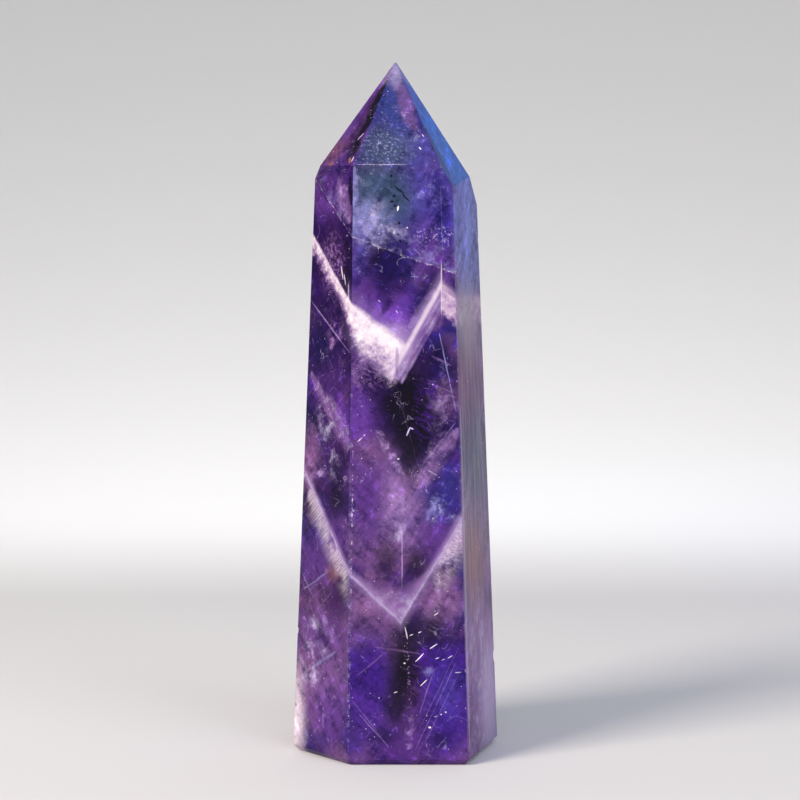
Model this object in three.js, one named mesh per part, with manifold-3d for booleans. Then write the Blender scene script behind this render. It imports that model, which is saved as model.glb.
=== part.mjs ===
// Chevron amethyst obelisk: one piece of banded quartz, cut as a six-sided column that narrows
// towards the top and ends in a six-sided point. Every flat is ground and polished by hand, so
// no two are quite alike. The edges are softly rounded, the foot has a narrow bevel, and the
// edges carry the small nicks of handling.
//
// Millimetres, +Z up. The origin is the middle of the foot, and the broad front flat faces -Y.

import * as THREE from "three";
import { ConvexGeometry } from "three/addons/geometries/ConvexGeometry.js";
import { mergeVertices } from "three/addons/utils/BufferGeometryUtils.js";
import Module from "manifold-3d";

// Driving dimensions, in millimetres and degrees.
const HEIGHT = 100;
const EDGE_RADIUS = 0.25;
const ROUND_STEPS = 3; // flats across each rounded edge
const FOOT_BEVEL = 0.9; // height of the bevel round the foot
const FOOT_BEVEL_ANGLE = 45;

// The column's flats. Azimuth is where a flat faces, anticlockwise from +X seen from above,
// reach is its distance from the middle at the foot, and lean is how far it tips inwards.
const SIDES = {
  front: { azimuth: 270, reach: 12.35, lean: 2.07 },
  right: { azimuth: 342, reach: 13.36, lean: 2.04 },
  backRight: { azimuth: 40.7, reach: 13.23, lean: 1.75 },
  back: { azimuth: 90, reach: 12.35, lean: 2.07 },
  backLeft: { azimuth: 162, reach: 13.36, lean: 2.04 },
  left: { azimuth: 220.7, reach: 13.23, lean: 1.75 },
};

// The point's flats all pass through the tip. Slope is their angle from level. They are turned
// a little from the column's flats, so each shoulder has a short slanting edge of its own.
const TIP = { x: -0.15, y: -0.25 };
const POINT = {
  tipFront: { azimuth: 271.2, slope: 61.8 },
  tipRight: { azimuth: 333, slope: 59.9 },
  tipBackRight: { azimuth: 17.7, slope: 59.1 },
  tipBack: { azimuth: 87, slope: 61 },
  tipBackLeft: { azimuth: 161, slope: 59.7 },
  tipLeft: { azimuth: 224.7, slope: 57.6 },
};

// Nicks in the edges. Each edge is named by the two flats that meet there, and each nick is its
// height, its length along the edge and its depth. The front left edge has a whole row of them.
const NICKS = [
  {
    edge: ["front", "left"],
    nicks: [
      [51.2, 0.8, 0.18],
      [44.3, 1.5, 0.3],
      [39.2, 0.7, 0.18],
      [37.5, 0.6, 0.16],
      [34.7, 1.3, 0.18],
      [29.1, 0.7, 0.18],
      [28.1, 0.8, 0.26],
      [27, 1, 0.2],
      [22.4, 2, 0.3],
      [20.4, 0.7, 0.2],
      [18.6, 1.6, 0.24],
      [16.1, 1.9, 0.24],
      [14, 1.2, 0.42],
      [12.5, 1, 0.22],
      [9.3, 1.6, 0.25],
      [7.4, 0.9, 0.22],
      [5.7, 1, 0.24],
      [3.6, 0.8, 0.2],
    ],
  },
  {
    edge: ["front", "right"],
    nicks: [
      [68.6, 0.9, 0.2],
      [46.3, 0.7, 0.2],
      [44.1, 0.8, 0.22],
      [39.4, 1.3, 0.24],
      [19.3, 0.8, 0.2],
      [13.1, 0.7, 0.25],
    ],
  },
  {
    edge: ["right", "backRight"],
    nicks: [
      [74.3, 1.2, 0.25],
      [12.7, 2.4, 0.5],
    ],
  },
  {
    edge: ["backLeft", "left"],
    nicks: [[17.3, 1.2, 0.28]],
  },
  {
    edge: ["back", "backLeft"],
    nicks: [
      [58, 1.4, 0.3],
      [22.5, 1, 0.25],
    ],
  },
  {
    edge: ["backRight", "back"],
    nicks: [
      [37.5, 1.6, 0.35],
      [9, 1, 0.25],
    ],
  },
  {
    edge: ["tipFront", "tipRight"],
    nicks: [[83.4, 0.9, 0.22]],
  },
  {
    edge: ["tipFront", "tipLeft"],
    nicks: [[86.6, 1, 0.22]],
  },
  {
    edge: ["tipBack", "tipBackRight"],
    nicks: [[88, 1.2, 0.25]],
  },
];
// The blob that bites a nick: its width as a share of its length, and the degrees that each is
// turned from the last, so that no two match.
const NICK_WIDTH = 0.9;
const NICK_TURN = 47;

// Closer than this, in millimetres, two corners are one, and two points of a mesh are one.
const SAME_PLACE = 1e-5;
const SAME_VERTEX = 1e-4;
// Flats whose normals span less than this don't meet in a point.
const NO_MEETING = 1e-6;

const radians = THREE.MathUtils.degToRad;

// A flat is the plane normal . point = offset, with the stone on its inner side. Rise is how far
// it looks upwards, and level is the level part of its normal.
function flatThrough(azimuth, rise, point) {
  const level = Math.cos(radians(rise));
  const normal = new THREE.Vector3(
    level * Math.cos(radians(azimuth)),
    level * Math.sin(radians(azimuth)),
    Math.sin(radians(rise)),
  );
  return { normal, level, offset: normal.dot(point) };
}

function pointAt(azimuth, distance, height) {
  return new THREE.Vector3(
    distance * Math.cos(radians(azimuth)),
    distance * Math.sin(radians(azimuth)),
    height,
  );
}

// The flats of the stone's core, which is the stone made smaller all round by the edge radius.
// The flats meet in sharp corners there, six of them in the tip, and four wherever the bevel
// turns a corner of the foot.
function coreFlats() {
  const flats = {};
  for (const [name, { azimuth, reach, lean }] of Object.entries(SIDES)) {
    const side = flatThrough(azimuth, lean, pointAt(azimuth, reach, 0));
    side.offset -= EDGE_RADIUS;
    const bevelReach = side.offset / side.level - FOOT_BEVEL * Math.tan(radians(lean));
    flats[name] = side;
    flats[name + "Bevel"] = flatThrough(
      azimuth,
      -FOOT_BEVEL_ANGLE,
      pointAt(azimuth, bevelReach, FOOT_BEVEL),
    );
  }
  const tip = new THREE.Vector3(TIP.x, TIP.y, HEIGHT - EDGE_RADIUS);
  for (const [name, { azimuth, slope }] of Object.entries(POINT)) {
    flats[name] = flatThrough(azimuth, 90 - slope, tip);
  }
  flats.foot = { normal: new THREE.Vector3(0, 0, -1), offset: -EDGE_RADIUS };
  return flats;
}

// The point where three flats meet, or null if they don't meet in one.
function meetingPoint(a, b, c) {
  const bc = b.normal.clone().cross(c.normal);
  const det = a.normal.dot(bc);
  if (Math.abs(det) < NO_MEETING) return null;
  return bc
    .multiplyScalar(a.offset)
    .addScaledVector(c.normal.clone().cross(a.normal), b.offset)
    .addScaledVector(a.normal.clone().cross(b.normal), c.offset)
    .divideScalar(det);
}

// Every corner of the core, each with the normals of all the flats that meet in it.
function cornersOf(flats) {
  const corners = [];
  for (let i = 0; i < flats.length; i++) {
    for (let j = i + 1; j < flats.length; j++) {
      for (let k = j + 1; k < flats.length; k++) {
        const point = meetingPoint(flats[i], flats[j], flats[k]);
        if (!point || corners.some((c) => c.point.distanceTo(point) < SAME_PLACE)) continue;
        const depths = flats.map((f) => f.offset - f.normal.dot(point));
        if (Math.min(...depths) < -SAME_PLACE) continue;
        const normals = flats.filter((_, n) => depths[n] < SAME_PLACE).map((f) => f.normal);
        corners.push({ point, normals });
      }
    }
  }
  return corners;
}

// The stone is the hull of a ball at each corner of its core. Only the side of the ball that
// faces outwards there is needed: its points along the arcs from each flat to each other one,
// and the point in their middle.
function roundedStone(flats) {
  const skin = [];
  for (const { point, normals } of cornersOf(flats)) {
    const middle = normals.reduce((sum, n) => sum.add(n), new THREE.Vector3());
    const outward = [middle.normalize(), ...normals];
    normals.forEach((from, i) => {
      for (const to of normals.slice(i + 1)) {
        for (let step = 1; step < ROUND_STEPS; step++) {
          outward.push(from.clone().lerp(to, step / ROUND_STEPS).normalize());
        }
      }
    });
    for (const way of outward) skin.push(point.clone().addScaledVector(way, EDGE_RADIUS));
  }
  return new ConvexGeometry(skin);
}

// A lumpy blob that bites one nick out of the rounded edge between two flats.
function nickBlob([a, b], [height, length, depth], index) {
  const level = { normal: new THREE.Vector3(0, 0, 1), offset: height };
  const onEdge = meetingPoint(a, b, level);
  const outward = a.normal.clone().add(b.normal).normalize();
  const along = a.normal.clone().cross(b.normal).normalize();
  const across = along.clone().cross(outward);
  const halfWidth = (NICK_WIDTH * length) / 2;
  const blob = new THREE.IcosahedronGeometry(1, 1)
    .rotateZ(radians(NICK_TURN * index))
    .rotateX(radians(NICK_TURN * 2 * index))
    .scale(halfWidth, halfWidth, length / 2);
  const centre = onEdge.addScaledVector(outward, EDGE_RADIUS + halfWidth - depth);
  return blob.applyMatrix4(
    new THREE.Matrix4().makeBasis(outward, across, along).setPosition(centre),
  );
}

const wasm = await Module();
wasm.setup();

function solidFrom(geometry) {
  const bare = geometry.clone();
  bare.deleteAttribute("normal");
  bare.deleteAttribute("uv");
  const merged = mergeVertices(bare, SAME_VERTEX);
  return new wasm.Manifold(
    new wasm.Mesh({
      numProp: 3,
      vertProperties: merged.getAttribute("position").array,
      triVerts: new Uint32Array(merged.index.array),
    }),
  );
}

function geometryFrom(solid) {
  const { vertProperties, triVerts } = solid.getMesh();
  return new THREE.BufferGeometry()
    .setAttribute("position", new THREE.BufferAttribute(vertProperties, 3))
    .setIndex(new THREE.BufferAttribute(triVerts, 1));
}

function obelisk() {
  const flats = coreFlats();
  let stone = solidFrom(roundedStone(Object.values(flats)));
  let count = 0;
  for (const { edge, nicks } of NICKS) {
    const meeting = edge.map((name) => flats[name]);
    for (const nick of nicks) {
      stone = stone.subtract(solidFrom(nickBlob(meeting, nick, count)));
      count++;
    }
  }
  const geometry = geometryFrom(stone);
  geometry.computeVertexNormals();
  const mesh = new THREE.Mesh(
    geometry,
    new THREE.MeshStandardMaterial({ color: 0x4a2380, roughness: 0.12, metalness: 0 }),
  );
  mesh.name = "obelisk";
  return mesh;
}

const part = new THREE.Group();
part.add(obelisk());

export default part;
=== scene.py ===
import math

import bmesh
import bpy
from mathutils import Matrix, Vector


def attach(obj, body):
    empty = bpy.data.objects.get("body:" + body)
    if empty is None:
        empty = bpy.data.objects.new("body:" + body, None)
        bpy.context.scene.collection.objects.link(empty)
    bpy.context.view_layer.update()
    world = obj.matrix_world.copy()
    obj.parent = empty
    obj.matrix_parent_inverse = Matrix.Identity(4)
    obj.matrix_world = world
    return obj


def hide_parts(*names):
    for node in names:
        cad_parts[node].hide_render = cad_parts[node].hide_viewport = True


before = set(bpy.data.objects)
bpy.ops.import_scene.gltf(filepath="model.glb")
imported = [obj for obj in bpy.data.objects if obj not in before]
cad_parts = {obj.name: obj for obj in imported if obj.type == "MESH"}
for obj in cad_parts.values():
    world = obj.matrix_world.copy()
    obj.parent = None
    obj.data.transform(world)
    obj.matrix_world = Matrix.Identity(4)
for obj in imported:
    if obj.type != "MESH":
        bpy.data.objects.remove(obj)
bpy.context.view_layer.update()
print("stage 1: the packed stone is loaded")

mm = 0.001
scene = bpy.context.scene
scene.view_settings.view_transform = "Standard"


def linear(code):
    # an sRGB hex colour as the linear colour that the shader takes
    parts = [int(code[n:n + 2], 16) / 255 for n in (1, 3, 5)]
    return [c / 12.92 if c <= 0.04045 else ((c + 0.055) / 1.055) ** 2.4 for c in parts] + [1]


def addNode(tree, kind, inputs=(), **settings):
    # one node of that kind with its settings, its sockets filled in order or by name
    node = tree.nodes.new("ShaderNode" + kind)
    for name, value in settings.items():
        setattr(node, name, value)
    for socket, value in inputs.items() if isinstance(inputs, dict) else enumerate(inputs):
        if isinstance(value, bpy.types.Node):
            value = value.outputs[0]
        if isinstance(value, bpy.types.NodeSocket):
            tree.links.new(value, node.inputs[socket])
        else:
            node.inputs[socket].default_value = value
    return node


# a MapRange with these settings rises smoothly and stays between its two ends
smooth = {"interpolation_type": "SMOOTHSTEP", "clamp": False}


# Camera: level, half-way up the stone and square to its broad front flat
view = {
    "at": (0.5, -219.81, 50.62),  # mm
    "lens": 67.5,
    "sensor": 36,  # mm
    "clip": (5, 20000),  # mm
}
camera = bpy.data.objects.new("camera", bpy.data.cameras.new("camera"))
scene.collection.objects.link(camera)
camera.location = Vector(view["at"]) * mm
camera.rotation_euler = (math.radians(90), 0, 0)
camera.data.lens = view["lens"]
camera.data.sensor_width = view["sensor"]
camera.data.clip_start, camera.data.clip_end = (reach * mm for reach in view["clip"])
scene.camera = camera


# The stone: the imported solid's own surface, with its flats kept flat and its edges smooth
stoneShape = {
    "crease": 28,  # degrees: a sharper turn than this stays a hard edge
    "weld": 0.002,  # mm
    "sameFlat": 4,  # degrees: faces turned less than this from a flat's direction belong to it
    "smallestFace": 0.4,  # mm2: smaller faces are never part of a flat
    "footFacing": -0.9,  # the foot's normal points at least this far down
    "footBevel": 0.9,  # mm high and wide
    "inset": 0.1,  # mm: a place on a flat stays this far inside its lowest and highest corners
    "flatWeight": 100,  # how far the large faces decide the shading
}

# Where each flat faces: degrees anticlockwise from +X seen from above, and degrees upwards
facing = {
    "front": (270, 2.07), "right": (342, 2.04), "backRight": (40.7, 1.75),
    "back": (90, 2.07), "backLeft": (162, 2.04), "left": (220.7, 1.75),
    "tipFront": (271.2, 28.2), "tipRight": (333, 30.1), "tipBackRight": (17.7, 30.9),
    "tipBack": (87, 29), "tipBackLeft": (161, 30.3), "tipLeft": (224.7, 32.4),
}


def makeStone():
    shape = bmesh.new()
    shape.from_mesh(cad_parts["obelisk"].data)
    bmesh.ops.remove_doubles(shape, verts=shape.verts, dist=stoneShape["weld"] * mm)
    bmesh.ops.recalc_face_normals(shape, faces=shape.faces)
    for face in shape.faces:
        face.smooth = True
    crease = math.radians(stoneShape["crease"])
    for edge in shape.edges:
        edge.smooth = len(edge.link_faces) == 2 and edge.calc_face_angle() < crease
    flats = {name: flatOf(shape, *way) for name, way in facing.items()}
    depth = shape.verts.layers.float.new("depth")
    for vert in shape.verts:
        under, height = nearestFlat(flats, vert.co / mm)[0], vert.co.z / mm
        underBevel = (under + height - stoneShape["footBevel"]) / math.sqrt(2)
        vert[depth] = min(under, underBevel, height)
    for face in shape.faces:
        name = nearestFlat(flats, face.calc_center_median() / mm)[1]
        face.material_index = list(windows).index(
            "foot" if face.normal.z < stoneShape["footFacing"] else name
        )
    mesh = bpy.data.meshes.new("amethystStone")
    shape.to_mesh(mesh)
    shape.free()
    stone = bpy.data.objects.new("amethystStone", mesh)
    scene.collection.objects.link(stone)
    keep = stone.modifiers.new("keepFlatsFlat", "WEIGHTED_NORMAL")
    keep.keep_sharp = True
    keep.weight = stoneShape["flatWeight"]
    return stone, flats


def flatOf(shape, azimuth, rise):
    # a flat's direction, its distance from the origin and its edges, in mm, all from the mesh
    way = Vector((
        math.cos(math.radians(azimuth)) * math.cos(math.radians(rise)),
        math.sin(math.radians(azimuth)) * math.cos(math.radians(rise)),
        math.sin(math.radians(rise)),
    ))
    faces = [
        face for face in shape.faces
        if face.normal.angle(way) < math.radians(stoneShape["sameFlat"])
        and face.calc_area() > stoneShape["smallestFace"] * mm ** 2
    ]
    normal = max(faces, key=lambda face: face.calc_area()).normal.copy()
    edges = []
    for face in faces:
        for edge in face.edges:
            edges.append(sorted((vert.co / mm for vert in edge.verts), key=lambda p: p.z))
    across = Vector((0, 0, 1)).cross(normal).normalized()
    up = normal.cross(across)
    return {
        "normal": normal,
        "reach": max(high.dot(normal) for low, high in edges),
        "across": across,
        "up": up,
        "turn": Matrix((across, up, normal)).transposed().to_euler(),
        "middle": sum((low + high for low, high in edges), Vector()) / (2 * len(edges)),
        "edges": edges,
        "low": min(low.z for low, high in edges) + stoneShape["inset"],
        "high": max(high.z for low, high in edges) - stoneShape["inset"],
    }


def nearestFlat(flats, place):
    # how far under the nearest flat a place in mm lies, and that flat's name
    return min((flat["reach"] - place.dot(flat["normal"]), name) for name, flat in flats.items())


def ownPlace(flat, share, height):
    # a place on a flat, that share of the way across from its left, at that height in mm, as
    # seen square on: mm to the right of the flat's middle, and mm up
    height = min(max(height, flat["low"]), flat["high"])
    cuts = [
        low.lerp(high, (height - low.z) / (high.z - low.z))
        for low, high in flat["edges"] if low.z <= height < high.z
    ]
    cuts.sort(key=lambda cut: cut.dot(flat["across"]))
    place = cuts[0].lerp(cuts[-1], share) - flat["middle"]
    return Vector((place.dot(flat["across"]), place.dot(flat["up"]), 0))


# Amethyst quartz, ground and polished with fine grit. Clear violet zones lie between pale
# fibrous bands, so it looks glassy and deep in some places and milky in others.
amethyst = {
    "ior": 1.55,
    "specular": 0.03,  # a low one, because the stone was seen with dark things around it
    "roughness": (0.05, 0.14),  # of clear and of milky quartz
    "seeThrough": 0.2,  # of the clear zones
    "absorption": "#a070ea",
    "absorptionDensity": 150,  # per metre
    "waviness": 0.012,  # mm that the hand-polished flats rise and fall
    "swells": (6, 6, 16),  # mm from one rise to the next, across and along the stone
    "fine": 0.55,  # mm: a narrower patch isn't bent much
    "milky": (0.02, 0.3),  # how bright the quartz is where it starts to be milky, and where it is
}

# The tones of the quartz, from the clearest and darkest to the milkiest. A few of them also paint
# light: painted reflections of the sky and the surroundings, and painted glints
tones = {
    "shade": "#6f5fa0",  # darkens what it is laid over
    "gleam": "#c9b8d8",  # brightens what it is laid over
    "ink": "#090318",
    "night": "#1a0d48",
    "deep": "#260b4c",
    "violet": "#371268",
    "indigo": "#2c2274",
    "iris": "#4b4198",
    "royal": "#441e94",
    "cobalt": "#2c4488",
    # painted reflection of blue sky
    "skyReflectionBlue": "#2a5cb0",
    # painted blue-lavender reflection of the sky
    "haze": "#6a76c2",
    "glow": "#7443b0",
    "purple": "#56307f",
    "plum": "#3f1a56",
    "wine": "#6b4066",
    "rose": "#7d5588",
    "mauve": "#8e6aa2",
    "lilac": "#a98cc0",
    "lavender": "#8d8cc4",
    "slate": "#3a4a68",
    # painted grey-green reflection of the surroundings
    "reflectionSage": "#7f909c",
    "mist": "#b3a9c8",
    "milk": "#d6c6d3",
    "cream": "#ead8da",
    # white quartz, and also painted glints
    "frost": "#f4e9ec",
    "rust": "#8f6058",
    # painted grey reflection of the surroundings
    "reflectionGrey": "#98909f",
}

# What each flat's quartz is on the whole
grounds = {
    "front": "violet", "left": "deep", "right": "mauve", "back": "violet",
    "backRight": "deep", "backLeft": "mauve", "tipFront": "indigo", "tipLeft": "purple",
    # tipRight's cobalt is partly its own blue-violet and partly a painted reflection of blue sky
    "tipRight": "cobalt", "tipBack": "indigo", "tipBackRight": "purple",
    "tipBackLeft": "cobalt", "foot": "violet",
}


def spot(tone, share, height, wide, high, **more):
    # a soft spot: its middle as a share of the way across and a height in mm, then its half
    # width and half height in mm
    return {"tone": tone, "places": [(share, height)], "size": (wide, high), **more}


def streak(tone, share, height, endShare, endHeight, width, **more):
    # a soft streak between two such places, and its half width in mm
    return {"tone": tone, "places": [(share, height), (endShare, endHeight)],
            "size": (width,), **more}


# What shows through each flat. More than its place and size, a patch may say how soft its edge
# is, how strongly it covers, what breaks it up, and whether it lies over the chevrons.
windows = {
    "tipFront": [
        spot("indigo", 0.5, 90, 9, 11, soft=0.3, strength=0.8),
        spot("cobalt", 0.4, 93.5, 2.4, 4.6, soft=0.6, strength=0.5),
        spot("iris", 0.8, 85.6, 3, 4.5, soft=0.6, strength=0.4),
        # a painted grey-green reflection of the surroundings, in slate, sage and mist, at the lower
        # left
        spot("slate", 0.36, 86.2, 3.8, 3.6, soft=0.6, strength=0.8),
        spot("reflectionSage", 0.4, 87.4, 3.4, 4, soft=0.7, broken="grain", strength=0.3),
        spot("mist", 0.25, 85.4, 3.4, 3, soft=0.8, broken="grain", strength=0.35),
        spot("lavender", 0.75, 86, 2.6, 3, broken="smoke", strength=0.25),
        streak("rose", 0.62, 97, 0.82, 89, 0.8, soft=0.9, strength=0.5),
        streak("lilac", 0.72, 92.4, 0.86, 88, 0.6, soft=0.9, broken="smoke", strength=0.6),
        # a painted highlight along its lower edge, and two small painted glints
        streak("frost", 0.02, 83.7, 0.62, 83.7, 0.05, strength=0.35),
        streak("frost", 0.82, 86.4, 0.84, 86, 0.05),
        streak("frost", 0.93, 88.4, 0.94, 88, 0.05),
        spot("mist", 0.5, 98.8, 1.3, 2.6, soft=0.8, strength=0.5),
    ],
    "tipLeft": [
        spot("purple", 0.5, 90, 8, 12, soft=0.3, strength=0.8),
        streak("plum", 0.6, 96, 0.6, 86, 1.1, soft=0.7),
        spot("wine", 0.2, 86.2, 1.8, 2.4, soft=0.7),
        spot("purple", 0.45, 83.4, 3, 1.6, soft=0.6),
        streak("ink", 0.9, 97.5, 0.86, 85.4, 0.75, soft=0.5),
        spot("ink", 0.8, 85.8, 1.2, 1.8, soft=0.7, strength=0.8),
        streak("lilac", 0.78, 87.6, 0.9, 88.6, 0.14),
        streak("milk", 0.86, 84.2, 0.92, 85, 0.12),
        # painted reddish glints
        streak("rust", 0.72, 84, 0.8, 84.9, 0.2),
        spot("rust", 0.25, 84.4, 0.5, 0.3, soft=0.8, strength=0.8),
        spot("mist", 0.5, 98.8, 1.1, 2.2, soft=0.8, strength=0.4),
    ],
    "tipRight": [
        # the cobalt ground and the azure patch are partly the stone's blue-violet, partly a painted
        # reflection of blue sky
        spot("cobalt", 0.5, 88, 9, 14, soft=0.3),
        spot("skyReflectionBlue", 0.55, 89, 3.4, 9, soft=0.7, strength=0.8),
        streak("night", 0.02, 90, 0.1, 82, 0.8, soft=0.7),
        spot("iris", 0.3, 95, 1.6, 3, soft=0.8, strength=0.6),
        spot("mist", 0.5, 98.8, 1.1, 2, soft=0.7, strength=0.4),
    ],
    "front": [
        # the shoulder, above the healed crack
        spot("iris", 0.7, 77, 6, 8, soft=0.5, strength=0.9),
        spot("purple", 0.72, 73, 3, 3, soft=0.8, strength=0.6),
        spot("slate", 0.27, 79, 4.6, 5.4, soft=0.5),
        streak("indigo", 0.95, 83, 0.95, 68, 0.9, soft=0.6, strength=0.8),
        streak("lavender", 0.9, 81, 0.895, 66, 0.06, strength=0.25),
        streak("lavender", 0.02, 83.4, 0.03, 73, 0.4, soft=0.8, strength=0.5),
        spot("lavender", 0.14, 75.4, 2.6, 3, soft=0.8, strength=0.7),
        spot("mist", 0.15, 75, 3, 3.2, soft=0.6, broken="smoke"),
        spot("mist", 0.3, 73.6, 3, 1.6, soft=0.8, broken="smoke"),
        spot("lavender", 0.78, 80.8, 2, 1.6, soft=0.8, broken="smoke"),
        spot("mist", 0.12, 81.8, 0.8, 0.7, soft=0.8, broken="smoke"),
        spot("mist", 0.8, 73.6, 2.6, 1.4, soft=0.7, broken="grain", strength=0.6),
        streak("lavender", 0.02, 76.3, 0.38, 76, 0.07, strength=0.5),
        streak("ink", 0.42, 80.6, 0.48, 79.8, 0.1),
        streak("ink", 0.47, 80.3, 0.52, 79.2, 0.08),
        streak("ink", 0.5, 79.3, 0.57, 78.5, 0.1),
        spot("ink", 0.41, 82, 0.16, 0.16),
        spot("ink", 0.41, 79.2, 0.22, 0.14),
        spot("ink", 0.39, 78.4, 0.26, 0.16),
        spot("ink", 0.42, 77.8, 0.2, 0.14),
        spot("ink", 0.46, 75.4, 0.16, 0.2),
        spot("ink", 0.45, 73.8, 0.2, 0.16),
        spot("ink", 0.47, 72.9, 0.2, 0.16),
        # small painted glints
        streak("frost", 0.455, 77.8, 0.445, 77.1, 0.1),
        spot("frost", 0.41, 74.1, 0.16, 0.2),
        spot("frost", 0.54, 74.8, 0.12, 0.1),
        # between the healed crack and the upper chevron
        spot("purple", 0.82, 69.4, 2.4, 2.6, soft=0.8),
        spot("iris", 0.08, 70, 1.8, 5, soft=0.8, strength=0.7),
        spot("purple", 0.16, 65.6, 2.4, 2.6, soft=0.8),
        spot("night", 0.36, 69.2, 2.8, 4.4, soft=0.7),
        spot("ink", 0.5, 71, 1, 4, soft=0.6, broken="grain"),
        spot("ink", 0.34, 68.4, 1.6, 2.6, soft=0.7, broken="smoke"),
        spot("night", 0.78, 66.4, 1.3, 2.6, soft=0.7, strength=0.8),
        spot("glow", 0.42, 61.6, 2.8, 3.6, soft=0.9, strength=0.7),
        spot("glow", 0.22, 63.6, 1.8, 1.6, soft=0.9, strength=0.6),
        spot("lilac", 0.47, 59.4, 1.1, 2, soft=0.9, strength=0.7),
        streak("lilac", 0.55, 60.6, 0.8, 66, 0.5, soft=0.9, strength=0.4),
        streak("night", 0.28, 67.6, 0.34, 63, 0.7, soft=0.9, strength=0.6),
        streak("night", 0.7, 67, 0.6, 62.6, 0.8, soft=0.9, strength=0.6),
        # a small cross of painted glint
        streak("lavender", 0.57, 67.9, 0.65, 67.8, 0.05),
        streak("lavender", 0.605, 68.3, 0.61, 67.4, 0.04),
        streak("mist", 0.42, 63.2, 0.44, 62.8, 0.06),
        streak("mist", 0.25, 64.6, 0.27, 64.3, 0.06),
        # between the chevrons
        spot("deep", 0.5, 49, 8, 8, soft=0.6),
        spot("night", 0.86, 55, 2.4, 4.6, soft=0.7),
        spot("purple", 0.06, 50, 2.4, 5, soft=0.9),
        spot("deep", 0.25, 52.4, 2.8, 2.8, soft=0.8),
        spot("mauve", 0.14, 54.4, 2.6, 2, soft=0.8, broken="fan", strength=0.7),
        streak("mauve", 0.14, 56.6, 0.02, 53, 0.5, soft=0.9, strength=0.4),
        streak("mauve", 0.76, 56.8, 0.95, 55.4, 0.16, strength=0.4),
        streak("mauve", 0.72, 53, 0.97, 51.6, 0.14, strength=0.4),
        streak("lavender", 0.84, 60, 0.93, 53, 0.09, strength=0.6),
        streak("lavender", 0.93, 53, 0.985, 49, 0.08, strength=0.6),
        spot("rose", 0.89, 50.6, 1.6, 2, soft=0.9, strength=0.5),
        spot("lilac", 0.86, 50, 2.2, 3, soft=0.7, broken="smoke", strength=0.9),
        spot("glow", 0.1, 48.4, 2, 3, soft=0.9, strength=0.4),
        spot("mauve", 0.43, 36.4, 3.2, 5.4, soft=0.9, strength=0.8),
        spot("lilac", 0.42, 35, 2.4, 3.4, soft=0.9, broken="smoke", strength=0.8),
        spot("purple", 0.14, 37, 2.2, 6, soft=0.9),
        spot("purple", 0.8, 32, 2.6, 3, soft=0.9),
        spot("ink", 0.55, 50, 3.2, 5.6, soft=0.8),
        spot("ink", 0.42, 50.6, 2, 2.8, soft=0.9, strength=0.7),
        spot("ink", 0.6, 46, 2.6, 3.2, soft=0.9, strength=0.9),
        spot("ink", 0.55, 41.8, 1.1, 2.8, soft=0.9, strength=0.7),
        streak("mauve", 0.42, 52.6, 0.64, 40.6, 0.06, strength=0.12),
        spot("violet", 0.72, 49, 1.6, 5, soft=0.7, broken="fan"),
        spot("rose", 0.2, 43.4, 2.4, 2, soft=0.9, strength=0.7),
        streak("lilac", 0.2, 47.4, 0.5, 39.4, 0.5, soft=0.9, broken="smoke"),
        streak("mauve", 1, 46.4, 0.6, 38.4, 0.9, soft=0.95, strength=0.7),
        streak("lilac", 0.96, 46.6, 0.62, 40, 0.9, soft=0.95, broken="smoke", strength=0.7),
        streak("lilac", 0.98, 47.6, 0.66, 41.4, 0.1, soft=0.9, strength=0.3),
        spot("indigo", 0.9, 38.2, 1.8, 4, soft=0.6),
        spot("indigo", 0.78, 36.8, 1.6, 2.4, soft=0.8, strength=0.7),
        spot("lavender", 0.84, 35.4, 2, 2.6, soft=0.7, broken="smoke"),
        streak("mist", 0.72, 40.8, 0.8, 40.1, 0.08),
        spot("mist", 0.8, 35.6, 0.4, 0.5, soft=0.8, broken="grain"),
        streak("mist", 0.3, 34.4, 0.425, 31.3, 0.6, soft=0.9, broken="smoke", strength=0.8),
        streak("mist", 0.55, 34.4, 0.435, 31.3, 0.6, soft=0.9, broken="smoke", strength=0.8),
        spot("ink", 0.33, 28.8, 1.3, 2, soft=0.9, strength=0.6),
        spot("ink", 0.6, 27.8, 1.3, 1.8, soft=0.9, strength=0.6),
        # a small V of painted glint
        streak("mist", 0.51, 45.6, 0.545, 46.8, 0.1),
        streak("mist", 0.545, 46.7, 0.575, 46.5, 0.07),
        spot("milk", 0.44, 42.4, 0.2, 0.1),
        # a painted glint, then painted glint dashes down the front-left edge
        streak("frost", 0.03, 44.6, 0.12, 45.9, 0.06, broken="glintDashes"),
        streak("milk", 0.004, 46, 0.004, 1.4, 0.075, soft=0.5, broken="glintDashes"),
        streak("lavender", 0.015, 37.6, 0.015, 33, 0.24, soft=0.9, broken="grain"),
        streak("lilac", 0.47, 33.8, 0.46, 24.5, 0.07, strength=0.8),
        # below the lower chevron
        spot("purple", 0.5, 4, 9, 5, soft=0.9, strength=0.8),
        spot("rose", 0.15, 21.6, 2.8, 3.2, soft=0.9),
        spot("rose", 0.8, 23, 2.8, 2.4, soft=0.9),
        spot("lilac", 0.82, 22.6, 3, 2.6, soft=0.7, broken="smoke", strength=0.7),
        spot("violet", 0.18, 12.6, 3, 5.4, soft=0.8),
        spot("glow", 0.17, 8.4, 2.6, 2.2, soft=0.9, strength=0.3),
        spot("royal", 0.2, 11, 3, 5, soft=0.9, strength=0.6),
        spot("royal", 0.84, 10, 3, 7, soft=0.8),
        spot("iris", 0.86, 10, 2, 3, soft=0.9, strength=0.5),
        spot("ink", 0.72, 18.4, 3, 2.2, soft=0.8, strength=0.85),
        spot("deep", 0.52, 18.6, 1.8, 2, soft=0.9),
        spot("ink", 0.47, 14, 1.8, 5, soft=0.8, strength=0.95),
        spot("ink", 0.4, 9.4, 1.5, 4, soft=0.9, strength=0.8),
        spot("ink", 0.56, 12, 1, 4.6, soft=0.8, broken="fan"),
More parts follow.
